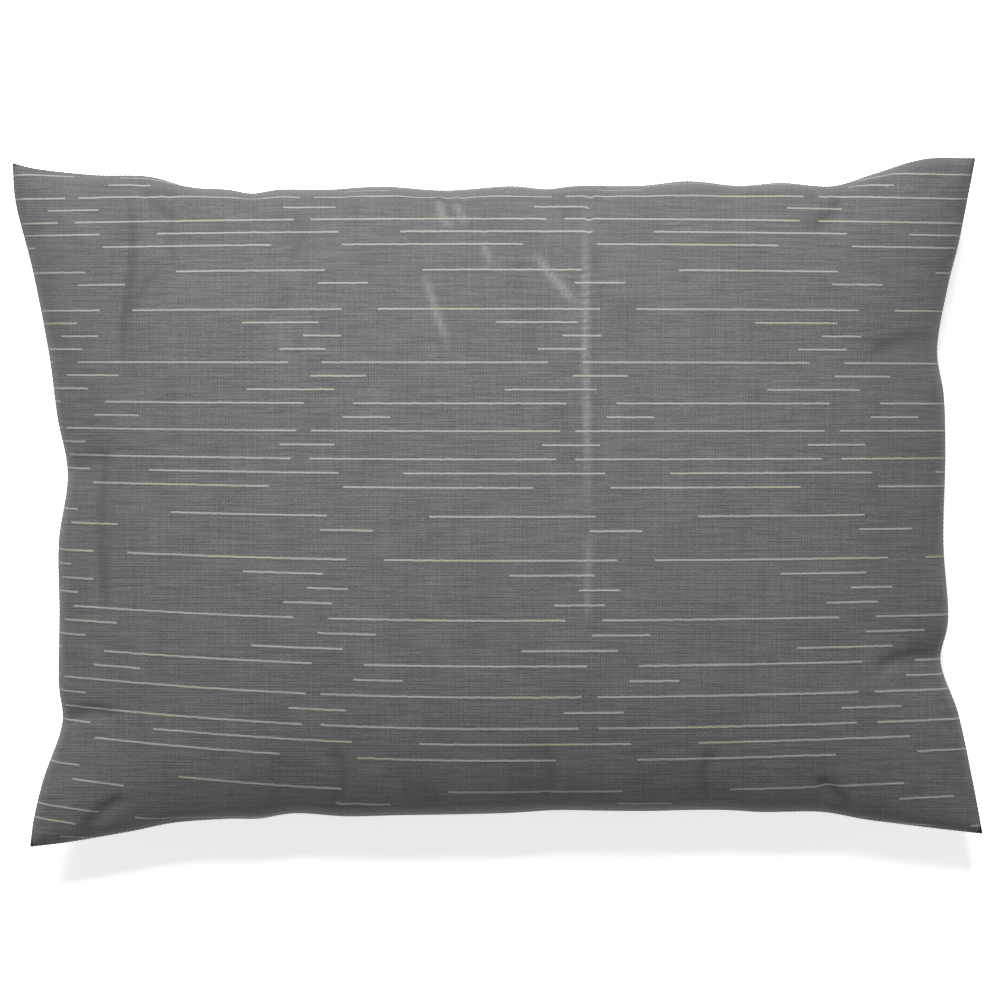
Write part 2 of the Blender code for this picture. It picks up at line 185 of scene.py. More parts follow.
# The seam's line seen from above, in mm from the middle, along each side from end to end.
TOP_SIDE = [
    (-348.6, 241), (-330, 236.6), (-290, 232.4), (-252, 231.4), (-222, 223.8), (-195, 222), (-177, 219.2),
    (-157, 222), (-122, 222), (-84, 224.2), (-39, 221.4), (6, 224.4), (33, 222.4), (56, 224.6), (100, 224.8),
    (135, 228), (170, 224.8), (202, 226.8), (237, 224.4), (266, 232.8), (303, 243.8), (340, 244.5),
]
BOTTOM_SIDE = [
    (-336, -248), (-309, -244.6), (-265, -237), (-232, -230.5), (-195, -228), (-172, -227.8), (-146, -224),
    (-110, -226.2), (-71, -225.4), (-32, -224.8), (6, -223.8), (40, -221.8), (75, -222.2), (106, -222.4),
    (140, -221.6), (164, -221.8), (190, -223.2), (229, -222.8), (262, -228.4), (306, -234), (345, -238.5),
]
LEFT_SIDE = [
    (-336, -248), (-333, -226), (-326, -198), (-313, -160), (-315.5, -130), (-315, -80), (-315.5, -30),
    (-309, 18), (-316.5, 60), (-322.5, 105), (-334, 164), (-346, 211), (-348.6, 241),
]
RIGHT_SIDE = [
    (345, -238.5), (337, -196), (327.5, -152), (315, -116), (320.5, -84), (317, -30), (318.4, 30),
    (317.4, 74), (312.5, 108), (320, 152), (328, 184), (334.5, 216), (340, 244.5),
]

tape_low, tape_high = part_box("zip_tape_back")
TAPE_FACE_Y = tape_low[1]
TAPE_BACK_Y = tape_high[1]
upper_tape_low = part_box("zip_tape_front")[0]
CHAIN_Z = (tape_high[2] + upper_tape_low[2]) / 2
ZIP_WINDOW = 0.010
LIP_Z = CHAIN_Z - ZIP_WINDOW / 2
SLOT_HALF = 0.200
LIP_ROW = 3  # rows of the back panel between the seam and the slot's lower lip
ZIP_ROUND = 0.2225  # radius of the back panel's side where the zip is sewn in
ZIP_FULLNESS = 2.4
ZIP_FADE = 0.03  # length past the slot over which the plain form by the zip gives way
HOLD_FADE = 0.02
STUFF_FRAMES = 16
FLOOR_EASE = 0.006  # height over which the underside flattens onto what it lies on


def smooth_line(points, count):
    """A smooth curve through the points, as this many places evenly spaced along it, in metres."""
    p = np.array(points) / 1000
    p = np.vstack([2 * p[0] - p[1], p, 2 * p[-1] - p[-2]])
    t = np.linspace(0, 1, 16, endpoint=False)[:, None]
    spans = []
    for a, b, c, d in zip(p, p[1:], p[2:], p[3:]):
        bend, twist = 2 * a - 5 * b + 4 * c - d, 3 * b - a - 3 * c + d
        spans.append(0.5 * (2 * b + (c - a) * t + bend * t**2 + twist * t**3))
    line = np.vstack([*spans, p[-2:-1]])
    along = np.r_[0, np.cumsum(np.linalg.norm(np.diff(line, axis=0), axis=1))]
    even = np.linspace(0, along[-1], count)
    return np.column_stack([np.interp(even, along, line[:, k]) for k in (0, 1)])


def bulge(s, t):
    """Height over the seam at a place on the cloth, as a share of the crown's. s and t run from -1 to 1."""
    along, across = (np.clip(1 - np.abs(k) ** FULLNESS, 0, 1) for k in (s, t))
    return (along * across) ** (1 / FULLNESS)


def stuffed_grid(height):
    """The panel's cloth grid laid over the pillow's outline, and lifted to this height at its middle."""
    top, bottom = smooth_line(TOP_SIDE, COLUMNS + 1), smooth_line(BOTTOM_SIDE, COLUMNS + 1)
    left, right = smooth_line(LEFT_SIDE, ROWS + 1), smooth_line(RIGHT_SIDE, ROWS + 1)
    # Cloth near a seam stands up steeply, so its rows lie closer together there when seen from above.
    s, t = (np.linspace(-1, 1, n + 1) for n in (COLUMNS, ROWS))
    a = ((s + CLOSER * s * (1 - s**2)) / 2 + 0.5)[None, :, None]
    b = ((t + CLOSER * t * (1 - t**2)) / 2 + 0.5)[:, None, None]
    across = (1 - a) * left[:, None] + a * right[:, None]
    up = (1 - b) * bottom[None] + b * top[None]
    corners = (1 - b) * ((1 - a) * bottom[0] + a * bottom[-1]) + b * ((1 - a) * top[0] + a * top[-1])
    flat = across + up - corners
    lift = height * bulge(2 * a[..., 0] - 1, 2 * b[..., 0] - 1)
    return np.dstack([flat, SEAM_Z + lift])


def two_panels(rows, columns):
    """Point numbers of two grids that share their border, and where that border is."""
    index = np.arange(2 * rows * columns).reshape(2, rows, columns)
    border = np.zeros((rows, columns), bool)
    border[[0, -1]] = border[:, [0, -1]] = True
    index[1][border] = index[0][border]
    return index, border


def quads(index):
    """The four corners of every cell in a grid of point numbers."""
    return np.stack([index[:-1, :-1], index[:-1, 1:], index[1:, 1:], index[1:, :-1]], axis=-1)


def sew_and_stuff():
    """The two panels' grids after the cloth has been blown up inside its seam."""
    front = stuffed_grid(FRONT_RISE)
    back = stuffed_grid(-BACK_DROP)
    # Along the zip the back panel keeps the plain form that the zip is sewn into.
    zone = np.clip((SLOT_HALF + ZIP_FADE - np.abs(back[..., 0])) / ZIP_FADE, 0, 1)
    for j in range(1, LIP_ROW + 1):
        depth = (SEAM_Z - LIP_Z) * j / LIP_ROW
        inward = ZIP_ROUND * (1 - (1 - (depth / BACK_DROP) ** ZIP_FULLNESS) ** (1 / ZIP_FULLNESS))
        kept = back[j].copy()
        kept[:, 1] = back[0, :, 1] + inward
        kept[:, 2] = SEAM_Z - depth
        back[j] += (kept - back[j]) * zone[j][:, None]
    columns, rows = COLUMNS + 1, ROWS + 1
    points = np.vstack([front.reshape(-1, 3), back.reshape(-1, 3)])
    index, border = two_panels(rows, columns)
    faces = quads(index[0]).reshape(-1, 4).tolist() + quads(index[1])[..., ::-1].reshape(-1, 4).tolist()
    body = mesh_object("stuffing_form", points, faces, bpy.data.materials["background_paper"])

    # The flat cut of each panel is the shape that the cloth tries to keep.
    body.shape_key_add(name="stuffed")
    cut = body.shape_key_add(name="flat_cut")
    s, t = np.meshgrid(np.linspace(-0.5, 0.5, columns), np.linspace(-0.5, 0.5, rows))
    flat = np.dstack([s * CUT_LENGTH, t * CUT_WIDTH, np.zeros_like(s)]).reshape(-1, 3)
    cut.data.foreach_set("co", np.vstack([flat, flat]).ravel())
    body.active_shape_key_index = 0

    held = body.vertex_groups.new(name="held")
    stiff = np.zeros((2, rows, columns))
    stiff[0][border] = 1
    zip_zone = np.zeros((rows, columns))
    from_middle = np.abs(back[: LIP_ROW + 2, :, 0])
    zip_zone[: LIP_ROW + 2] = np.clip((SLOT_HALF + ZIP_FADE - from_middle) / HOLD_FADE, 0, 1)
    stiff[1] = zip_zone
    for n, weight in enumerate(stiff.ravel()):
        if weight > 0:
            held.add([n], float(weight), "REPLACE")

    cloth = body.modifiers.new("cloth", "CLOTH").settings
    cloth.quality = 6
    cloth.mass = 0.25
    cloth.air_damping = 4
    cloth.tension_stiffness = 25
    cloth.compression_stiffness = 18
    cloth.shear_stiffness = 12
    cloth.bending_stiffness = 1.2
    cloth.tension_damping = cloth.compression_damping = 15
    cloth.use_pressure = True
    cloth.uniform_pressure_force = 5
    cloth.vertex_group_mass = "held"
    cloth.rest_shape_key = cut
    cloth.effector_weights.gravity = 0
    scene = bpy.context.scene
    for number in range(1, STUFF_FRAMES + 1):
        scene.frame_set(number)
    graph = bpy.context.evaluated_depsgraph_get()
    done = body.evaluated_get(graph).to_mesh()
    out = np.empty(len(done.vertices) * 3)
    done.vertices.foreach_get("co", out)
    out = out.reshape(2, rows, columns, 3)
    out[1][border] = out[0][border]
    bpy.data.objects.remove(body)
    scene.frame_set(1)
    return out[0], out[1]


front_form, back_form = sew_and_stuff()
sunk = back_form[..., 2] < FLOOR_EASE
back_form[sunk, 2] = FLOOR_EASE * np.exp((back_form[sunk, 2] - FLOOR_EASE) / FLOOR_EASE)
crown_trim = min(1, FRONT_RISE / (front_form[..., 2].max() - SEAM_Z))
front_form[..., 2] = SEAM_Z + (front_form[..., 2] - SEAM_Z) * crown_trim


# ---- Pillow case -----------------------------------------------------------
# A slip-over case of slubby plain-woven cotton and linen in grey, with pale weft floats in broken lines. Its
# two panels are sewn together inside out, turned, and closed by a zip in a slot under the near long side. The
# lower edge of the slot is hemmed, and the upper one turned in as a flat ledge.

CASE_GROUND = "515152"
CASE_SHADE = "3C3C3D"
CASE_PALE = "646463"
# Pale along raised creases: rubbed wear with a painted highlight.
CREASE_RUB_AND_HIGHLIGHT = "7C7C7D"
FLOAT_PALE = "7F7F7E"
FLOAT_WARM = "85806F"
THREAD_PITCH = 0.0020  # twice a real linen's, so that it shows
FLOAT_HEIGHT = 0.0012
ROW_HEIGHT = 0.0096
REPEAT_LENGTH = 0.189
STEEP = 0.75  # least share of the cloth's own length that a stripe takes on a steep flank
HEM_DROP = 0.0035
HEM_CLEAR = 0.0005  # room between the folded hem and the tape's face
PUCKER_HEIGHT = 0.0006
TURNED_IN = (0.008, 0.006, 0.0095)  # how far the ledge, fold and hem lie from the slot along the cloth
CREASE_POINTS = 40

# On the front the cloth lies skewed and drawn. In mm: a first term, then what a row adds, singly and squared.
FIRST_ROW = 219.1
ROW_STEP = (8.87, 0.0318)
LEFT_SKEW = (-3.5, 0.13, 0.0113)
RIGHT_SKEW = (-3.5, 0.16, 0.003)
SKEW_REACH = 315
REPEAT_STEP = (180.5, 0.49)
REPEAT_START = (47.2, 0.11, 0.0143)
DRAWN_END = 0.93  # share of its length that the cloth keeps more than one repeat to the left of the start

# The draft: where each of the 18 rows' float starts and how long it runs, as shares of the repeat.
DRAFT = [
    (0.000, 0.942), (0.873, 0.216), (0.993, 0.927), (0.345, 0.757), (0.118, 0.710), (0.000, 0.000),
    (0.434, 0.620), (0.027, 0.195), (0.000, 0.000), (0.260, 0.860), (0.717, 0.315), (0.970, 0.150),
    (0.873, 0.187), (0.045, 0.865), (0.002, 0.212), (0.741, 0.350), (0.163, 0.810), (0.122, 0.180),
]

# Pressed and stuffing creases: path in mm, height in mm, half width in mm.
CREASES = [
    ([(62, 222), (61, 142), (62, 56), (63, -20)], 1.9, 2.6),
    ([(63, -20), (63, -90)], 1.0, 2.6),
    ([(23, 178), (40, 157), (57, 138)], 1.9, 2.8),
    ([(-44, 217), (-41, 203), (-33, 195)], 1.8, 2.6),
    ([(-33, 214), (-24, 196)], 1.5, 2.4),
    ([(-13, 186), (-6, 168)], 1.4, 2.6),
    ([(-56, 164), (-50, 148), (-37, 108)], 1.3, 2.8),
    ([(-267, 228), (-262, 180), (-268, 120), (-267, 88)], -2.4, 3.6),
    ([(-240, 170), (-256, 150), (-273, 127)], -2.0, 3.6),
    ([(-137, 200), (-143, 184), (-151, 166)], -1.7, 3.4),
    ([(-232, 210), (-236, 186), (-228, 160)], -1.2, 3.4),
    ([(-276, 48), (-284, 0), (-281, -88)], -2.4, 4.0),
    ([(-313, -158), (-292, -150), (-268, -152)], -2.9, 4.2),
    ([(-309, 20), (-290, 30), (-272, 28)], -2.2, 4.0),
    ([(-302, -246), (-288, -226), (-262, -208)], -3.2, 4.6),
    ([(252, -230), (244, -214), (222, -196)], -3.2, 4.6),
    ([(313, -114), (292, -110), (262, -118)], -2.6, 4.6),
    ([(313, 108), (292, 112), (258, 104)], -2.4, 4.6),
    ([(-258, 232), (-248, 214), (-226, 196)], -2.2, 4.4),
    ([(244, 226), (238, 208), (220, 188)], -2.0, 4.4),
    ([(-120, -224), (-112, -200), (-118, -170)], -1.8, 5.0),
    ([(30, -222), (36, -196), (28, -166)], -1.6, 5.0),
    ([(150, -218), (144, -196), (152, -172)], -1.6, 5.0),
]


def refine(grid):
    """A grid with a point added between every two, on a smooth curve through their neighbours."""
    for axis in (0, 1):
        g = np.moveaxis(grid, axis, 0)
        wide = np.concatenate([2 * g[:1] - g[1:2], g, 2 * g[-1:] - g[-2:-1]])
        middles = (9 * (wide[1:-2] + wide[2:-1]) - wide[:-3] - wide[3:]) / 16
        out = np.empty((2 * len(g) - 1, *g.shape[1:]))
        out[::2] = g
        out[1::2] = middles
        grid = np.moveaxis(out, 0, axis)
    return grid


def outward(grid, side):
    """Unit normals of a grid, upwards where side is 1 and downwards where it is -1."""
    n = np.cross(np.gradient(grid, axis=1), np.gradient(grid, axis=0))
    return side * n / np.maximum(np.linalg.norm(n, axis=-1, keepdims=True), 1e-9)


def steps_in(grid):
    """Each point's row and column, and how many steps it lies in from the grid's border."""
    rows, columns = grid.shape[:2]
    j, i = np.mgrid[0:rows, 0:columns]
    return j, i, np.minimum(np.minimum(j, rows - 1 - j), np.minimum(i, columns - 1 - i))


def crease_at(path, xy):
    """Each point's distance from a crease, in mm, and how far along it the point is, from 0 to 1."""
    if len(path) > 2:
        line = smooth_line(path, CREASE_POINTS) * 1000
    else:
        line = np.linspace(path[0], path[1], CREASE_POINTS)
    apart = np.linalg.norm(xy[:, :, None] - line[None, None], axis=-1)
    return apart.min(axis=-1), apart.argmin(axis=-1) / (CREASE_POINTS - 1)


def press(grid, side):
    """Raises and sinks the creases along the cloth's normals, fading out at the seam."""
    normals = outward(grid, side)
    moved = grid.copy()
    fade = np.clip(steps_in(grid)[2] / 3, 0, 1)
    for path, height, width in CREASES:
        apart, along = crease_at(path, grid[..., :2] * 1000)
        ends = np.clip(np.minimum(along, 1 - along) * 5, 0, 1)
        shape = np.exp(-((apart / width) ** 2) / 1.2)
        moved += normals * (height / 1000 * shape * ends * fade)[..., None]
    return moved


def crease_wear_and_painted_light(place, only):
    """Paint along the creases: pale on raised ones, as rubbed wear and a painted highlight, and painted shade
    in sunken ones.
    """
    found = np.zeros(place.shape[:2])
    for path, height, width in CREASES:
        if height * only <= 0:
            continue
        apart, along = crease_at(path, place * 1000)
        ends = np.clip(np.minimum(along, 1 - along) * 4, 0, 1)
        shape = np.exp(-((apart / (0.95 * width)) ** 2)) * ends
        found = np.maximum(found, shape * min(1, abs(height) / 2))
    return found


def pucker(grid, side):
    """Small gathers that run in from the seam, as a seam that draws its cloth makes them."""
    rows, columns = grid.shape[:2]
    normals = outward(grid, side)
    j, i, rim = steps_in(grid)
    near_long = np.exp(-np.minimum(j, rows - 1 - j) / 4.0)
    near_end = np.exp(-np.minimum(i, columns - 1 - i) / 4.5)
    depth = near_long * (np.sin(i * 0.61 + 1.3 * np.sin(i * 0.083)) + 0.6 * np.sin(i * 0.29 + 0.7))
    depth += near_end * (np.sin(j * 0.53 + 1.1 * np.sin(j * 0.11)) + 0.8 * np.sin(j * 0.23 + 1.9))
    return grid + normals * (PUCKER_HEIGHT * depth * np.clip(rim / 3, 0, 1))[..., None]


def laid_out(grid, seen_from=None):
    """Each point's place on the cloth, in metres from the middle, square to its sides.

    In the middle that is its place seen from above, and on a steep flank it follows the cloth's own length.
    """
    flat = grid[..., :2].copy()
    if seen_from:
        flat *= (seen_from / (seen_from - (grid[..., 2] - SEAM_Z)))[..., None]
    rows, columns = grid.shape[:2]
    places = []
    for axis, middle in ((0, columns // 2), (1, rows // 2)):
        line = flat[..., axis]
        step = np.diff(line, axis=1 - axis)
        length = np.linalg.norm(np.diff(grid, axis=1 - axis), axis=-1)
        step = np.maximum(step, STEEP * length)
        walked = np.cumsum(step, axis=1 - axis)
        zero = np.zeros_like(np.take(walked, [0], axis=1 - axis))
        walked = np.concatenate([zero, walked], axis=1 - axis)
        start = np.take(walked, [middle], axis=1 - axis)
        places.append(walked - start + np.take(line, [middle], axis=1 - axis))
    return np.dstack(places)


def front_stripes(place):
    """The draft's repeats along and rows down, for the front panel, where the cloth lies skewed and drawn."""
    x, y = place[..., 0] * 1000, place[..., 1] * 1000
    step, more = ROW_STEP
    row = np.zeros_like(x)
    for _ in range(4):
        left, right = (a + b * row + c * row**2 for a, b, c in (LEFT_SKEW, RIGHT_SKEW))
        level = FIRST_ROW - y + np.where(x < 0, left, right) * (x / SKEW_REACH) ** 2
        row = (np.sqrt(np.maximum(step**2 + 4 * more * level, 0)) - step) / (2 * more)
    repeat = REPEAT_STEP[0] + REPEAT_STEP[1] * row
    start = REPEAT_START[0] + REPEAT_START[1] * row + REPEAT_START[2] * row**2
    along = (x - start) / repeat
    beyond = along < -1
    along[beyond] = -1 + (along[beyond] + 1) / DRAWN_END
    return np.dstack([along, row])


def mapped(obj, name, places):
    """Gives a mesh a UV map from one place a point."""
    layer = obj.data.uv_layers.new(name=name)
    at = np.empty(len(obj.data.loops), int)
    obj.data.loops.foreach_get("vertex_index", at)
    layer.data.foreach_set("uv", places[at].astype(np.float32).ravel())


def tidy_mesh(obj):
    """Drops points that no face uses."""
    body = bmesh.new()
    body.from_mesh(obj.data)
    bmesh.ops.delete(body, geom=[v for v in body.verts if not v.link_faces], context="VERTS")
    body.to_mesh(obj.data)
    body.free()


def thicken(obj, thickness):
    """Gives a cloth skin its thickness, inwards, and applies it."""
    solid = obj.modifiers.new("thickness", "SOLIDIFY")
    solid.thickness = thickness
    solid.offset = -1
    solid.use_rim = True
    graph = bpy.context.evaluated_depsgraph_get()
    mesh = bpy.data.meshes.new_from_object(obj.evaluated_get(graph), depsgraph=graph)
    obj.modifiers.clear()
    obj.data = mesh


def threads_of(tree, place, pitch):
    """A plain weave's height, 0 in the gaps and 1 on top of a thread, from a place in metres on the cloth."""
    cell = add(tree, "ShaderNodeVectorMath", "SCALE", _0=place, Scale=1 / pitch)
    parts = add(tree, "ShaderNodeSeparateXYZ", Vector=cell)
    turned = add(tree, "ShaderNodeVectorMath", "SCALE", _0=cell, Scale=math.pi)
    waves = add(tree, "ShaderNodeVectorMath", "SINE", _0=turned)
    round_ = add(tree, "ShaderNodeVectorMath", "ABSOLUTE", _0=waves)
    across = add(tree, "ShaderNodeSeparateXYZ", Vector=round_)
    floors = [add(tree, "ShaderNodeMath", "FLOOR", _0=parts.outputs[k]).outputs[0] for k in (0, 1)]
    total = add(tree, "ShaderNodeMath", _0=floors[0], _1=floors[1])
    over = add(tree, "ShaderNodeMath", "FLOORED_MODULO", _0=total, _1=2.0)
    tops = []
    for a, b in ((0, 1), (1, 0)):
        body = add(tree, "ShaderNodeMath", "SQRT", _0=across.outputs[a])
        arch = add(tree, "ShaderNodeMath", "MULTIPLY_ADD", _0=across.outputs[b], _1=0.35, _2=0.65)
        tops.append(add(tree, "ShaderNodeMath", "MULTIPLY", _0=body, _1=arch))
    return add(
        tree, "ShaderNodeMix", {"data_type": "FLOAT"},
        Factor=over, _2=tops[0].outputs[0], _3=tops[1].outputs[0],
    ).outputs[0]


def slubs(tree, place, along, across, detail=3.0):
    """Streaks where yarn runs thick and thin: their length along and height across, in metres."""
    scaled = add(tree, "ShaderNodeVectorMath", "MULTIPLY", _0=place, _1=(1 / along, 1 / across, 1))
    return add(tree, "ShaderNodeTexNoise", Vector=scaled, Scale=1.0, Detail=detail).outputs[0]


def make_case_cloth():
    """Woven cotton and linen: matt, dry and slubby, with pale weft floats that catch a little more light."""
    material, tree, shader = finish(
        "woven_cotton_linen", 0.9, Sheen_Weight=0.03, Sheen_Roughness=0.5, Specular_IOR_Level=0.25
    )
    place = add(tree, "ShaderNodeUVMap", {"uv_map": "threads"}).outputs[0]
    stripes = add(tree, "ShaderNodeUVMap", {"uv_map": "stripes"}).outputs[0]
    weave = threads_of(tree, place, THREAD_PITCH)
    weft = slubs(tree, place, 0.035, 0.0021)
    warp = slubs(tree, place, 0.0021, 0.045)
    patches = add(tree, "ShaderNodeTexNoise", Vector=place, Scale=28.0, Detail=3.0).outputs[0]

    # Ground: threads over a darker gap, each yarn a little paler or darker along its length.
    lean = add(tree, "ShaderNodeMath", "MULTIPLY_ADD", _0=weave, _1=0.30, _2=-0.31)
    lean = add(tree, "ShaderNodeMath", "MULTIPLY_ADD", _0=weft, _1=0.55, _2=lean)
    lean = add(tree, "ShaderNodeMath", "MULTIPLY_ADD", _0=warp, _1=0.30, _2=lean)
    lean = add(tree, "ShaderNodeMath", "MULTIPLY_ADD", _0=patches, _1=0.22, _2=lean)
    speck = add(tree, "ShaderNodeTexNoise", Vector=place, Scale=620.0, Detail=2.0).outputs[0]
    lean = add(tree, "ShaderNodeMath", "MULTIPLY_ADD", _0=speck, _1=0.60, _2=lean)
    lean = add(tree, "ShaderNodeMath", "SUBTRACT", _0=lean, _1=0.28)
    ground = add(tree, "ShaderNodeValToRGB", Fac=lean)
    ramp = ground.color_ramp
    ramp.elements[0].position = 0.18
    ramp.elements[0].color = linear(CASE_SHADE)
    ramp.elements[1].position = 0.95
    ramp.elements[1].color = linear(CASE_PALE)
    middle = ramp.elements.new(0.55)
    middle.color = linear(CASE_GROUND)

    fine = slubs(tree, place, 0.028, 0.0010, 2.0)
    nick = add(
        tree, "ShaderNodeMapRange", {"interpolation_type": "SMOOTHSTEP"}, Value=fine,
        From_Min=0.54, From_Max=0.66, To_Min=0.0, To_Max=0.62,
    )
    ground = blend(tree, nick, ground, linear(CASE_SHADE))

    # Creases: pale where a raised crease has rubbed, with a painted highlight, and painted shade in a sunken
    # one.
    creases = add(tree, "ShaderNodeUVMap", {"uv_map": "creases"})
    crease_wear_and_light = add(tree, "ShaderNodeSeparateXYZ", Vector=creases)
    rub_and_painted_highlight = add(tree, "ShaderNodeMath", "MULTIPLY", _0=crease_wear_and_light, _1=0.52)
    ground = blend(tree, rub_and_painted_highlight, ground, linear(CREASE_RUB_AND_HIGHLIGHT))
    # Painted shade along the sunken creases.
    painted_crease_shade = add(tree, "ShaderNodeMath", "MULTIPLY", _0=crease_wear_and_light.outputs[1], _1=0.55)
    ground = blend(tree, painted_crease_shade, ground, linear(CASE_SHADE))

    # Floats: each row reads its start and length from the draft.
    parts = add(tree, "ShaderNodeSeparateXYZ", Vector=stripes)
    rounded = add(tree, "ShaderNodeMath", _0=parts.outputs[1], _1=0.5)
    row = add(tree, "ShaderNodeMath", "FLOOR", _0=rounded)
    off = add(tree, "ShaderNodeMath", "SUBTRACT", _0=parts.outputs[1], _1=row)
    turn = add(tree, "ShaderNodeMath", "FLOORED_MODULO", _0=row, _1=float(len(DRAFT)))
    centre = add(tree, "ShaderNodeMath", _0=turn, _1=0.5)
    share = add(tree, "ShaderNodeMath", "DIVIDE", _0=centre, _1=float(len(DRAFT)))
    draft = add(tree, "ShaderNodeValToRGB", Fac=share)
    draft.color_ramp.interpolation = "CONSTANT"
    stops = draft.color_ramp.elements
    while len(stops) < len(DRAFT):
        stops.new(1.0)
    for n, (start, length) in enumerate(DRAFT):
        stops[n].position = n / len(DRAFT)
        stops[n].color = (start, length, 0, 1)
    read = add(tree, "ShaderNodeSeparateColor", Color=draft)
    from_start = add(tree, "ShaderNodeMath", "SUBTRACT", _0=parts, _1=read)
    along = add(tree, "ShaderNodeMath", "FRACT", _0=from_start)
    within = add(tree, "ShaderNodeMath", "LESS_THAN", _0=along, _1=read.outputs[1])

    # The float's edge wanders a little with its yarn, and a shadow line lies under it.
    wander = slubs(tree, place, 0.006, 0.05, 2.0)
    shifted = add(tree, "ShaderNodeMath", "MULTIPLY_ADD", _0=wander, _1=0.09, _2=-0.045)
    off = add(tree, "ShaderNodeMath", _0=off, _1=shifted)
    apart = add(tree, "ShaderNodeMath", "ABSOLUTE", _0=off)
    half_float = FLOAT_HEIGHT / ROW_HEIGHT / 2
    band = add(
        tree, "ShaderNodeMapRange", {"interpolation_type": "SMOOTHSTEP"}, Value=apart,
        From_Min=half_float * 1.45, From_Max=half_float * 0.55, To_Min=0.0, To_Max=1.0,
    )
    float_mask = add(tree, "ShaderNodeMath", "MULTIPLY", _0=band, _1=within)
    below = add(tree, "ShaderNodeMath", "SUBTRACT", _0=off, _1=half_float * 2.1)
    below = add(tree, "ShaderNodeMath", "ABSOLUTE", _0=below)
    shadow = add(
        tree, "ShaderNodeMapRange", {"interpolation_type": "SMOOTHSTEP"}, Value=below,
        From_Min=half_float * 1.2, From_Max=0.0, To_Min=0.0, To_Max=0.42,
    )
    shadow = add(tree, "ShaderNodeMath", "MULTIPLY", _0=shadow, _1=within)
    tint = slubs(tree, place, 0.09, 0.0065, 1.0)
    warmth = add(
        tree, "ShaderNodeMapRange", {"interpolation_type": "SMOOTHSTEP"},
        Value=tint, From_Min=0.52, From_Max=0.72,
    )
    pale = blend(tree, warmth, linear(FLOAT_PALE), linear(FLOAT_WARM))
    grain = add(tree, "ShaderNodeMapRange", Value=lean, From_Min=0.1, From_Max=0.9, To_Min=0.74, To_Max=1.14)
    grained = add(
        tree, "ShaderNodeMix", {"data_type": "RGBA", "blend_type": "MULTIPLY"},
        Factor=1.0, _6=pale, _7=grain,
    )
    shaded = blend(tree, shadow, ground, linear(CASE_SHADE))
    colour = blend(tree, float_mask, shaded, grained.outputs[2])
    tree.links.new(colour, shader.inputs["Base Color"])

    # Relief: the weave, its thick and thin yarns, and the floats lying on top.
    relief = add(tree, "ShaderNodeMath", "MULTIPLY_ADD", _0=weft, _1=0.8, _2=weave)
    relief = add(tree, "ShaderNodeMath", "MULTIPLY_ADD", _0=float_mask, _1=0.7, _2=relief)
    bump = add(tree, "ShaderNodeBump", Strength=0.55, Distance=0.0004, Height=relief)
    tree.links.new(bump.outputs[0], shader.inputs["Normal"])
    return material


def square_slot_ends(grid, row, half):
    """Moves the columns nearest to the slot's ends onto them, and returns those columns."""
    ends = []
    for x in (-half, half):
        column = int(np.abs(grid[row, :, 0] - x).argmin())
        grid[: row + 1, column, 0] = x
        ends.append(column)
    return ends


case_front = pucker(press(refine(front_form), 1), 1)
case_back = pucker(refine(back_form), -1)
lip_row = 2 * LIP_ROW
first, last = square_slot_ends(case_back, lip_row, SLOT_HALF)
case_front[0] = case_back[0]
case_rows, case_columns = case_front.shape[:2]
case_index = two_panels(case_rows, case_columns)[0]
skin_faces = quads(case_index[0]).reshape(-1, 4).tolist()
back_faces = quads(case_index[1])[..., ::-1]
closed = np.ones(back_faces.shape[:2], bool)
closed[:lip_row, first:last] = False
skin_faces += back_faces[closed].tolist()

# The slot's two edges, turned in: a flat ledge over the zip, and a hem that goes down behind the lip.
seam_run = case_front[0, first : last + 1]
ledge = seam_run.copy()
ledge[:, 1] = TAPE_BACK_Y
lip = case_back[lip_row, first : last + 1]
fold = lip.copy()
fold[:, 1] = TAPE_FACE_Y - HEM_CLEAR
hem = fold.copy()
hem[:, 2] -= HEM_DROP
count = 2 * case_rows * case_columns
width = last - first + 1
for i in range(width - 1):
    a, b = case_index[0][0, first + i], case_index[0][0, first + i + 1]
    skin_faces.append((a, count + i, count + i + 1, b))
    a, b = case_index[1][lip_row, first + i], case_index[1][lip_row, first + i + 1]
    f, h = count + width + i, count + 2 * width + i
    skin_faces.append((a, b, f + 1, f))
    skin_faces.append((f, f + 1, h + 1, h))
skin_points = np.vstack([case_front.reshape(-1, 3), case_back.reshape(-1, 3), ledge, fold, hem])

case_cloth = make_case_cloth()
skin_faces = [tuple(map(int, f)) for f in skin_faces]
pillow_case = mesh_object("pillow_case", skin_points, skin_faces, case_cloth)
seen = camera.location.z - SEAM_Z
front_place = laid_out(case_front, seen)
back_place = laid_out(case_back)
front_draft = front_stripes(front_place)
back_draft = back_place / (REPEAT_LENGTH, ROW_HEIGHT)
lip_place = back_place[lip_row, first : last + 1]
turned_place = np.concatenate([front_place[0, first : last + 1], lip_place, lip_place])
turned_place[:, 1] += np.repeat(TURNED_IN, width)
turned_in = turned_place / (REPEAT_LENGTH, ROW_HEIGHT)
mapped(pillow_case, "stripes", np.vstack([front_draft.reshape(-1, 2), back_draft.reshape(-1, 2), turned_in]))
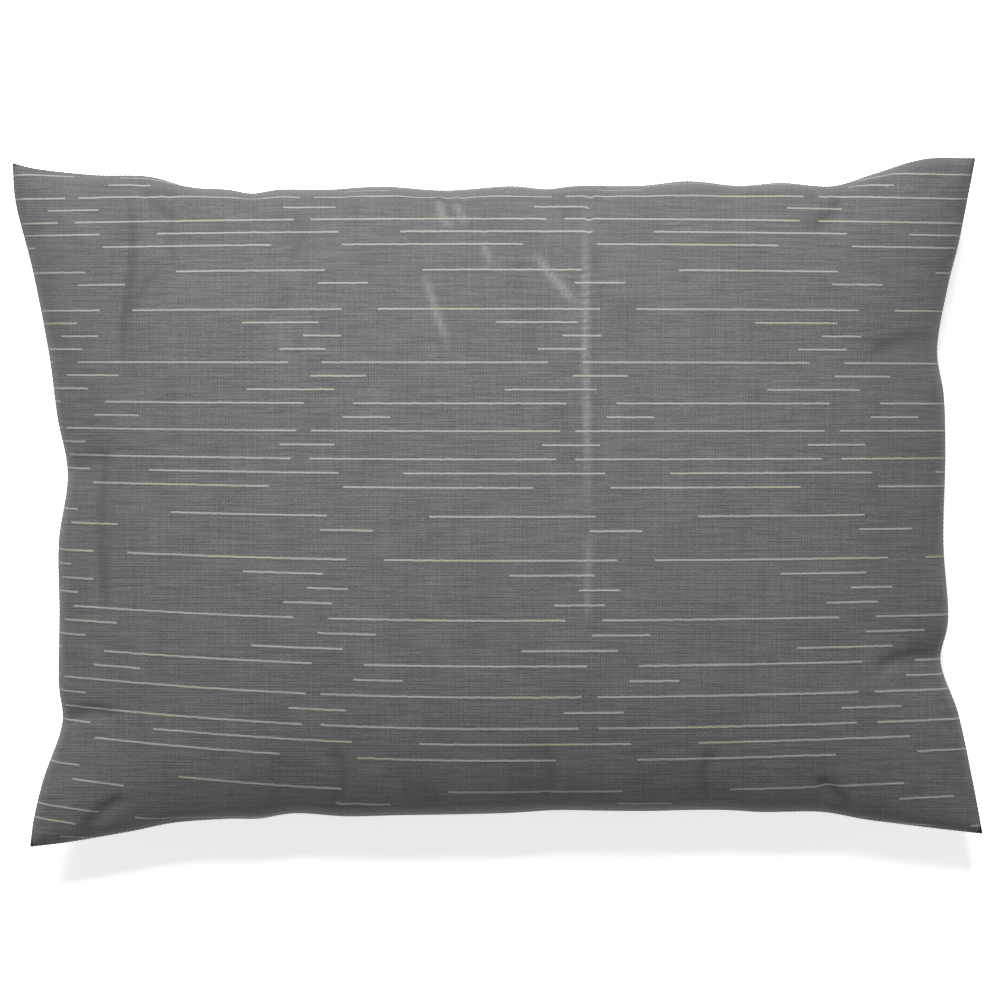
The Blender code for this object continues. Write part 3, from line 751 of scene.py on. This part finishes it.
# Crease paint on the front only: rubbed wear and a painted highlight on raised creases, painted shade in
# sunken ones.
front_crease_wear_and_light = np.dstack([crease_wear_and_painted_light(front_place, 1), crease_wear_and_painted_light(front_place, -1)]).reshape(-1, 2)
rest_crease_wear_and_light = np.zeros((case_rows * case_columns + 3 * width, 2))
mapped(pillow_case, "creases", np.vstack([front_crease_wear_and_light, rest_crease_wear_and_light]))
thread_place = np.vstack([front_place.reshape(-1, 2), back_place.reshape(-1, 2), turned_place])
mapped(pillow_case, "threads", thread_place)
tidy_mesh(pillow_case)
thicken(pillow_case, CLOTH)
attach(pillow_case, "case")
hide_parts("case_front", "case_back")


# ---- Insert ----------------------------------------------------------------
# The pillow inside the case: a ticking shell of dense white cotton, sewn all round and filled with two batts
# of hollow polyester fibre. It sits close under the case and stops short of its seams.

TICKING = 0.0008
TICKING_INSET = 0.0125
TICKING_GAP = 0.0014
FILL_INSET = 0.0180
FILL_GAP = 0.0012
ZIP_ROOM = 0.0030  # free depth behind the zip's tapes
INSET_REACH = 26  # grid steps of the case over which an inner piece draws away from the seam
TICKING_WHITE = "E9E7E1"
TICKING_SHADE = "D2CFC6"
FIBRE_WHITE = "F3F2EE"
FIBRE_SHADE = "D9D8D4"


def inside(grid, side, depth, inset):
    """Half the points of the case's grid, moved in by this depth and from its seam by this inset.

    They also stay behind the zip.
    """
    rows, columns = grid.shape[:2]
    j, i, rim = steps_in(grid)
    out = grid - outward(grid, side) * depth
    for axis, count, k in ((0, columns, i), (1, rows, j)):
        reach = np.clip(1 - np.minimum(k, count - 1 - k) / INSET_REACH, 0, 1) ** 2
        out[..., axis] -= np.sign(k - (count - 1) / 2) * inset * reach
    past_zip = np.clip(np.abs(out[..., 0]) - SLOT_HALF - 0.015, 0, None)
    out[..., 1] = np.maximum(out[..., 1], TAPE_BACK_Y + ZIP_ROOM - past_zip)
    flat = np.clip(rim / 5, 0, 1)
    out[..., 2] = SEAM_Z + (out[..., 2] - SEAM_Z) * flat
    out[..., 2] = np.maximum(out[..., 2], SEAM_Z) if side > 0 else np.minimum(out[..., 2], SEAM_Z)
    return out[::2, ::2]


def closed_form(name, front, back, material):
    """A stuffed form of two grids that share their border."""
    rows, columns = front.shape[:2]
    index = two_panels(rows, columns)[0]
    faces = quads(index[0]).reshape(-1, 4).tolist() + quads(index[1][::-1]).reshape(-1, 4).tolist()
    body = mesh_object(name, np.vstack([front.reshape(-1, 3), back.reshape(-1, 3)]), faces, material)
    tidy_mesh(body)
    return body


def make_ticking():
    """Down-proof cotton ticking: white, very fine and smooth, with a faint rib."""
    material, tree, shader = finish("cotton_ticking", 0.72, Sheen_Weight=0.1)
    place = add(tree, "ShaderNodeTexCoord").outputs["Object"]
    weave = threads_of(tree, place, 0.0009)
    yarn = slubs(tree, place, 0.02, 0.0012)
    lean = add(tree, "ShaderNodeMath", "MULTIPLY_ADD", _0=weave, _1=0.5, _2=yarn)
    colour = blend(tree, lean, linear(TICKING_SHADE), linear(TICKING_WHITE))
    tree.links.new(colour, shader.inputs["Base Color"])
    bump = add(tree, "ShaderNodeBump", Strength=0.3, Distance=0.0002, Height=weave)
    tree.links.new(bump.outputs[0], shader.inputs["Normal"])
    return material


def make_fibre():
    """Crimped hollow polyester fibre: white, soft and tangled, with a silky sheen."""
    material, tree, shader = finish("hollow_polyester_fibre", 0.95, Sheen_Weight=0.5, Sheen_Roughness=0.3)
    place = add(tree, "ShaderNodeTexCoord").outputs["Object"]
    clumps = add(tree, "ShaderNodeTexNoise", Vector=place, Scale=60.0, Detail=5.0, Distortion=1.2)
    strands = add(tree, "ShaderNodeTexNoise", Vector=place, Scale=700.0, Detail=3.0, Distortion=3.0)
    both = add(tree, "ShaderNodeMath", "MULTIPLY_ADD", _0=strands, _1=0.5, _2=clumps)
    colour = blend(tree, both, linear(FIBRE_SHADE), linear(FIBRE_WHITE))
    tree.links.new(colour, shader.inputs["Base Color"])
    bump = add(tree, "ShaderNodeBump", Strength=0.7, Distance=0.002, Height=both)
    tree.links.new(bump.outputs[0], shader.inputs["Normal"])
    return material


ticking_depth = CLOTH + TICKING_GAP
ticking_front = inside(case_front, 1, ticking_depth, TICKING_INSET)
ticking_back = inside(case_back, -1, ticking_depth, TICKING_INSET)
insert_ticking = closed_form("insert_ticking", ticking_front, ticking_back, make_ticking())
thicken(insert_ticking, TICKING)
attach(insert_ticking, "case")
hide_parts("insert_ticking_front", "insert_ticking_back")

fibre = make_fibre()
fill_depth = ticking_depth + TICKING + FILL_GAP
for name, grid, side in (("fill_batt_upper", case_front, 1), ("fill_batt_lower", case_back, -1)):
    puffed = inside(grid, side, fill_depth, FILL_INSET)
    middle = puffed.copy()
    middle[..., 2] = SEAM_Z
    puffed[..., 2] += side * FILL_GAP / 4
    middle[..., 2] += side * FILL_GAP / 4
    faces = (puffed, middle) if side > 0 else (middle, puffed)
    batt = closed_form(name + "_fibre", *faces, fibre)
    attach(batt, "case")
    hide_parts(name)


# ---- Seam threads ----------------------------------------------------------
# Lockstitch in spun polyester thread holds the two panels of the case together all round, and those of the
# insert. On the case it breaks off where the zip's slot is. Each stitch is a short plump length of thread.

STITCH_SPACING = 0.0032
STITCH_SIZE = (0.0027, 0.0004, 0.0004)
CASE_THREAD = "4A4A4B"
TICKING_THREAD = "ECEAE4"


def group_input(tree, name, kind, default):
    """A named input on a node group."""
    socket = tree.interface.new_socket(name, in_out="INPUT", socket_type=kind)
    if default is not None:
        socket.default_value = default
    return socket


def make_stitch_tree():
    """Geometry nodes that set stitches along a line of edges, by spacing, stitch size and thread."""
    tree = bpy.data.node_groups.new("stitch_run", "GeometryNodeTree")
    group_input(tree, "Line", "NodeSocketGeometry", None)
    group_input(tree, "Spacing", "NodeSocketFloat", STITCH_SPACING)
    group_input(tree, "Stitch Size", "NodeSocketVector", STITCH_SIZE)
    group_input(tree, "Thread", "NodeSocketMaterial", None)
    tree.interface.new_socket("Stitches", in_out="OUTPUT", socket_type="NodeSocketGeometry")
    given = add(tree, "NodeGroupInput").outputs
    line = add(tree, "GeometryNodeMeshToCurve", _0=given["Line"])
    even = add(tree, "GeometryNodeResampleCurve", {"mode": "LENGTH"}, Curve=line, Length=given["Spacing"])
    heading = add(tree, "GeometryNodeInputTangent")
    turned = add(tree, "FunctionNodeAlignRotationToVector", {"axis": "X"}, Vector=heading)
    stitch = add(tree, "GeometryNodeMeshUVSphere", Segments=6, Rings=5, Radius=0.5)
    set_out = add(
        tree, "GeometryNodeInstanceOnPoints", Points=even, Instance=stitch,
        Rotation=turned, Scale=given["Stitch Size"],
    )
    real = add(tree, "GeometryNodeRealizeInstances", Geometry=set_out)
    smooth = add(tree, "GeometryNodeSetShadeSmooth", Geometry=real)
    named = add(tree, "GeometryNodeSetMaterial", Geometry=smooth, Material=given["Thread"])
    add(tree, "NodeGroupOutput", _0=named)
    return tree


def built(name, points, edges, tree, **inputs):
    """The plain mesh that a node tree makes from a line of edges, at the origin."""
    mesh = bpy.data.meshes.new(name)
    mesh.from_pydata([tuple(map(float, p)) for p in points], edges, [])
    obj = bpy.data.objects.new(name, mesh)
    bpy.context.collection.objects.link(obj)
    maker = obj.modifiers.new("maker", "NODES")
    maker.node_group = tree
    for item in tree.interface.items_tree:
        value = inputs.get(item.name.replace(" ", "_"))
        if value is not None:
            maker[item.identifier] = value
    graph = bpy.context.evaluated_depsgraph_get()
    mesh = bpy.data.meshes.new_from_object(obj.evaluated_get(graph), depsgraph=graph)
    obj.modifiers.clear()
    obj.data = mesh
    return obj


def run_of(points):
    """The edges that join points one after another."""
    return [(n, n + 1) for n in range(len(points) - 1)]


def make_thread(name, colour):
    """Spun polyester sewing thread: two plies twisted, with a soft shine."""
    material, tree, shader = finish(name, 0.55, Sheen_Weight=0.2)
    place = add(tree, "ShaderNodeTexCoord").outputs["Object"]
    turned = add(tree, "ShaderNodeMapping", Vector=place, Rotation=(0.6, 0.6, 0.6))
    twist = add(tree, "ShaderNodeTexWave", Vector=turned, Scale=260.0, Distortion=0.6)
    dim = tuple(c * 0.62 for c in linear(colour)[:3]) + (1.0,)
    mix = blend(tree, twist.outputs[1], dim, linear(colour))
    tree.links.new(mix, shader.inputs["Base Color"])
    bump = add(tree, "ShaderNodeBump", Strength=0.4, Distance=0.0001, Height=twist.outputs[1])
    tree.links.new(bump.outputs[0], shader.inputs["Normal"])
    return material


def seam_of(grid):
    """The border of a grid, all the way round from its first corner."""
    return np.concatenate([grid[0, :-1], grid[:-1, -1], grid[-1, :0:-1], grid[:0:-1, 0]])


stitch_tree = make_stitch_tree()
case_thread = make_thread("case_sewing_thread", CASE_THREAD)
ticking_thread = make_thread("ticking_sewing_thread", TICKING_THREAD)
around = seam_of(case_front)
sewn = np.concatenate([around[last + 2 :], around[: first - 1]])
case_seam = built("case_seam_stitches", sewn, run_of(sewn), stitch_tree, Thread=case_thread)
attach(case_seam, "case")
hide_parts("case_seam_thread")

around = seam_of(ticking_front)
sewn = np.concatenate([around, around[:1]])
ticking_seam = built("insert_seam_stitches", sewn, run_of(sewn), stitch_tree, Thread=ticking_thread)
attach(ticking_seam, "case")
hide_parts("insert_seam_thread")


# ---- Care label ------------------------------------------------------------
# A blank strip of white polyester satin ribbon, folded double and caught in the case's seam, so that it hangs
# inside as a small loop.

LABEL_THICK = 0.00018
LABEL_STEPS = 12
LABEL_OPEN = 0.0005  # half the room between the two layers
LABEL_BOW = 0.0003
LABEL_WHITE = "EFEFEC"

label_low, label_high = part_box("case_care_label")
label_width = label_high[0] - label_low[0]
label_drop = label_high[2] - label_low[2]
label_half = LABEL_THICK + LABEL_OPEN


def make_label():
    """Satin ribbon: a close warp-faced weave with a gloss along the strip."""
    material, tree, shader = finish("polyester_satin_ribbon", 0.38, Sheen_Weight=0.15)
    place = add(tree, "ShaderNodeTexCoord").outputs["Object"]
    fine = slubs(tree, place, 0.0006, 0.008)
    colour = blend(tree, fine, linear("DAD9D5"), linear(LABEL_WHITE)
    )
    tree.links.new(colour, shader.inputs["Base Color"])
    bump = add(tree, "ShaderNodeBump", Strength=0.2, Distance=0.0001, Height=fine)
    tree.links.new(bump.outputs[0], shader.inputs["Normal"])
    return material


label_profile = []
middle_y = (label_low[1] + label_high[1]) / 2
for n in range(LABEL_STEPS + 1):
    share = n / LABEL_STEPS
    label_profile.append((middle_y - label_half, label_high[2] - (label_drop - label_half) * share))
for n in range(1, 8):
    turn = math.pi * n / 8
    at = label_low[2] + label_half
    label_profile.append((middle_y - label_half * math.cos(turn), at - label_half * math.sin(turn)))
for n in range(LABEL_STEPS, -1, -1):
    share = n / LABEL_STEPS
    label_profile.append((middle_y + label_half, label_high[2] - (label_drop - label_half) * share))
label_points = []
for y, z in label_profile:
    for n in range(LABEL_STEPS + 1):
        share = n / LABEL_STEPS
        lean = LABEL_BOW * math.sin(math.pi * share) * (label_high[2] - z) / label_drop
        label_points.append((label_low[0] + label_width * share, y + lean, z))
label_index = np.arange(len(label_points)).reshape(-1, LABEL_STEPS + 1)
label_faces = quads(label_index).reshape(-1, 4).tolist()
care_label = mesh_object("care_label_ribbon", label_points, label_faces, make_label())
thicken(care_label, LABEL_THICK)
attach(care_label, "case")
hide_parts("case_care_label")


# ---- Zip -------------------------------------------------------------------
# A light coil zip in grey polyester. Each side is a woven tape with a coil of monofilament along its edge.
# Cast zinc stops close its ends, and a plated slider with a flat pull runs between them.

TAPE_GREY = "5E5D5C"
TAPE_SHADE = "474645"
COIL_GREY = "6A6968"
FILAMENT = 0.00022  # radius
COIL_PITCH = 0.0013
RIB_PITCH = 0.0012
ZINC = "B9B7B2"
ZINC_SHADE = "8E8C88"


def make_tape():
    """Woven polyester zip tape: fine ribs across it and a dull sheen."""
    material, tree, shader = finish("woven_polyester_tape", 0.68, Sheen_Weight=0.15)
    place = add(tree, "ShaderNodeTexCoord").outputs["Object"]
    turned = add(tree, "ShaderNodeMapping", Vector=place, Rotation=(math.pi / 2, 0, 0))
    weave = threads_of(tree, turned.outputs[0], 0.0008)
    yarn = slubs(tree, turned.outputs[0], 0.012, 0.0008)
    lean = add(tree, "ShaderNodeMath", "MULTIPLY_ADD", _0=weave, _1=0.5, _2=yarn)
    colour = blend(tree, lean, linear(TAPE_SHADE), linear(TAPE_GREY)
    )
    tree.links.new(colour, shader.inputs["Base Color"])
    bump = add(tree, "ShaderNodeBump", Strength=0.5, Distance=0.0002, Height=weave)
    tree.links.new(bump.outputs[0], shader.inputs["Normal"])
    return material


def make_filament():
    """Nylon monofilament: smooth, slightly translucent grey, with a small bright highlight."""
    material, tree, shader = finish("nylon_monofilament", 0.28)
    place = add(tree, "ShaderNodeTexCoord").outputs["Object"]
    haze = add(tree, "ShaderNodeTexNoise", Vector=place, Scale=400.0, Detail=2.0)
    colour = blend(tree, haze, linear("5A5958"), linear(COIL_GREY)
    )
    tree.links.new(colour, shader.inputs["Base Color"])
    return material


def make_zinc():
    """Cast zinc with a tumbled nickel plating: fine pits and dull smears that spread the light."""
    material, tree, shader = finish("nickel_plated_zinc", 0.3, Metallic=1.0)
    place = add(tree, "ShaderNodeTexCoord").outputs["Object"]
    pits = add(tree, "ShaderNodeTexNoise", Vector=place, Scale=1800.0, Detail=4.0)
    smears = add(tree, "ShaderNodeTexNoise", Vector=place, Scale=220.0, Detail=3.0, Distortion=0.8)
    colour = blend(tree, smears, linear(ZINC_SHADE), linear(ZINC)
    )
    tree.links.new(colour, shader.inputs["Base Color"])
    rough = add(tree, "ShaderNodeMapRange", Value=smears, To_Min=0.22, To_Max=0.42)
    tree.links.new(rough.outputs[0], shader.inputs["Roughness"])
    bump = add(tree, "ShaderNodeBump", Strength=0.2, Distance=0.0001, Height=pits)
    tree.links.new(bump.outputs[0], shader.inputs["Normal"])
    return material


def woven_band(name, low, high, coil_side, material):
    """A woven tape along X, with a thick bead at the coil's edge, shallow ribs and a thin outer edge."""
    steps = 28
    length_steps = 60
    z = np.linspace(low[2], high[2], steps + 1)
    thick = high[1] - low[1]
    from_coil = np.abs(z - (low[2] if coil_side < 0 else high[2]))
    depth = np.where(from_coil < 0.0012, 1.0, 0.8 + 0.1 * np.cos(2 * math.pi * from_coil / RIB_PITCH))
    depth[[0, -1]] *= 0.6
    outer = [(high[1] - thick * d, h) for d, h in zip(depth, z)]
    ring = outer + [(high[1], h) for h in z[::-1]]
    points = [(x, y, h) for x in np.linspace(low[0], high[0], length_steps + 1) for y, h in ring]
    n = len(ring)
    faces = []
    for k in range(length_steps):
        for m in range(n):
            a, b = k * n + m, k * n + (m + 1) % n
            faces.append((a, b, b + n, a + n))
    faces.append(tuple(range(n))[::-1])
    faces.append(tuple(range(length_steps * n, (length_steps + 1) * n)))
    band = mesh_object(name, points, faces, material)
    body = bmesh.new()
    body.from_mesh(band.data)
    bmesh.ops.recalc_face_normals(body, faces=body.faces)
    body.to_mesh(band.data)
    body.free()
    return band


def make_coil_tree():
    """Geometry nodes that wind a filament into a flat coil along X: its turns, length, place and size."""
    tree = bpy.data.node_groups.new("zip_coil", "GeometryNodeTree")
    group_input(tree, "Line", "NodeSocketGeometry", None)
    group_input(tree, "Turns", "NodeSocketFloat", 200.0)
    group_input(tree, "Length", "NodeSocketFloat", 0.3)
    group_input(tree, "Place", "NodeSocketVector", (0, 0, 0))
    group_input(tree, "Turn Size", "NodeSocketVector", (1, 1, 1))
    group_input(tree, "Filament", "NodeSocketFloat", FILAMENT)
    group_input(tree, "Nylon", "NodeSocketMaterial", None)
    tree.interface.new_socket("Coil", in_out="OUTPUT", socket_type="NodeSocketGeometry")
    given = add(tree, "NodeGroupInput").outputs
    wound = add(
        tree, "GeometryNodeCurveSpiral",
        Resolution=12, Rotations=given["Turns"], Start_Radius=0.5, End_Radius=0.5, Height=given["Length"],
    )
    laid = add(tree, "GeometryNodeTransform", Geometry=wound, Rotation=(0, math.pi / 2, 0))
    sized = add(
        tree, "GeometryNodeTransform", Geometry=laid, Translation=given["Place"], Scale=given["Turn Size"]
    )
    section = add(tree, "GeometryNodeCurvePrimitiveCircle", Resolution=5, Radius=given["Filament"])
    tube = add(
        tree, "GeometryNodeCurveToMesh", Curve=sized, Profile_Curve=section, Fill_Caps=True
    )
    real = add(tree, "GeometryNodeRealizeInstances", Geometry=tube)
    smooth = add(tree, "GeometryNodeSetShadeSmooth", Geometry=real)
    named = add(tree, "GeometryNodeSetMaterial", Geometry=smooth, Material=given["Nylon"])
    add(tree, "NodeGroupOutput", _0=named)
    return tree


tape_cloth = make_tape()
for name, coil_side in (("zip_tape_front", -1), ("zip_tape_back", 1)):
    low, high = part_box(name)
    tape = woven_band(name + "_woven", low, high, coil_side, tape_cloth)
    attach(tape, "case")
    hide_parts(name)

coil_tree = make_coil_tree()
nylon = make_filament()
for name, held_end in (("zip_coil_front", 1), ("zip_coil_back", 0)):
    low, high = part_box(name)
    size = high - low
    coil = built(
        name + "_wound", [(0, 0, 0)], [], coil_tree, Nylon=nylon, Filament=FILAMENT,
        Turns=float(round((size[0] - 2 * FILAMENT) / COIL_PITCH)), Length=float(size[0] - 2 * FILAMENT),
        Place=(float(low[0]) + FILAMENT, float(low[1] + high[1]) / 2, float(low[2] + high[2]) / 2),
        Turn_Size=(1.0, float(size[1]) - 2 * FILAMENT, float(size[2]) - 2 * FILAMENT),
    )
    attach(coil, "case")
    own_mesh(coil)
    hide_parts(name)

zinc = make_zinc()
for name in ("zip_top_stop_front", "zip_top_stop_back", "zip_bottom_stop", "zip_slider", "zip_pull"):
    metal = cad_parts[name]
    metal.data.materials.clear()
    metal.data.materials.append(zinc)


# ---- Zip stitching ---------------------------------------------------------
# One row of lockstitch holds each tape: the upper one to the ledge and the lower one to the hem. Each shows
# again outside as a second row. A dense bar of stitches across each end of the slot takes the strain.

ZIP_STITCH_SPACING = 0.0030
ZIP_STITCH_SIZE = (0.0025, 0.0005, 0.0005)
TACK_SPACING = 0.0006
TACK_STITCH = 0.0007
ROW_END = 0.002  # how far a row stops short of its end
OUTER_ROW_Z = 0.0735

for name in ("zip_stitch_front", "zip_stitch_back"):
    low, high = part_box(name)
    height = (low[2] + high[2]) / 2
    line = [(x, (low[1] + high[1]) / 2, height) for x in (low[0] + ROW_END, high[0] - ROW_END)]
    row = built(
        name + "_row", line, run_of(line), stitch_tree,
        Thread=case_thread, Spacing=ZIP_STITCH_SPACING, Stitch_Size=ZIP_STITCH_SIZE,
    )
    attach(row, "case")
    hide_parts(name)

row_reach = SLOT_HALF - ROW_END
showing_front = [(x, TAPE_FACE_Y - 0.0001, OUTER_ROW_Z) for x in (-row_reach, row_reach)]
under_lip = case_back[lip_row + 2, first : last + 1].copy()
under_lip += outward(case_back, -1)[lip_row + 2, first : last + 1] * 0.0001
for name, line in (("zip_tape_outer_stitches", showing_front), ("zip_hem_outer_stitches", under_lip)):
    row = built(
        name, line, run_of(line), stitch_tree,
        Thread=case_thread, Spacing=ZIP_STITCH_SPACING, Stitch_Size=ZIP_STITCH_SIZE,
    )
    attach(row, "case")

for name in ("zip_bar_tack_left", "zip_bar_tack_right"):
    low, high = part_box(name)
    middle = (low + high) / 2
    line = [(middle[0], middle[1], low[2] + 0.0003), (middle[0], middle[1], high[2] - 0.0003)]
    tack = built(
        name + "_stitches", line, run_of(line), stitch_tree, Thread=case_thread, Spacing=TACK_SPACING,
        Stitch_Size=(TACK_STITCH, float(high[1] - low[1]), float(high[0] - low[0])),
    )
    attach(tack, "case")
    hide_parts(name)
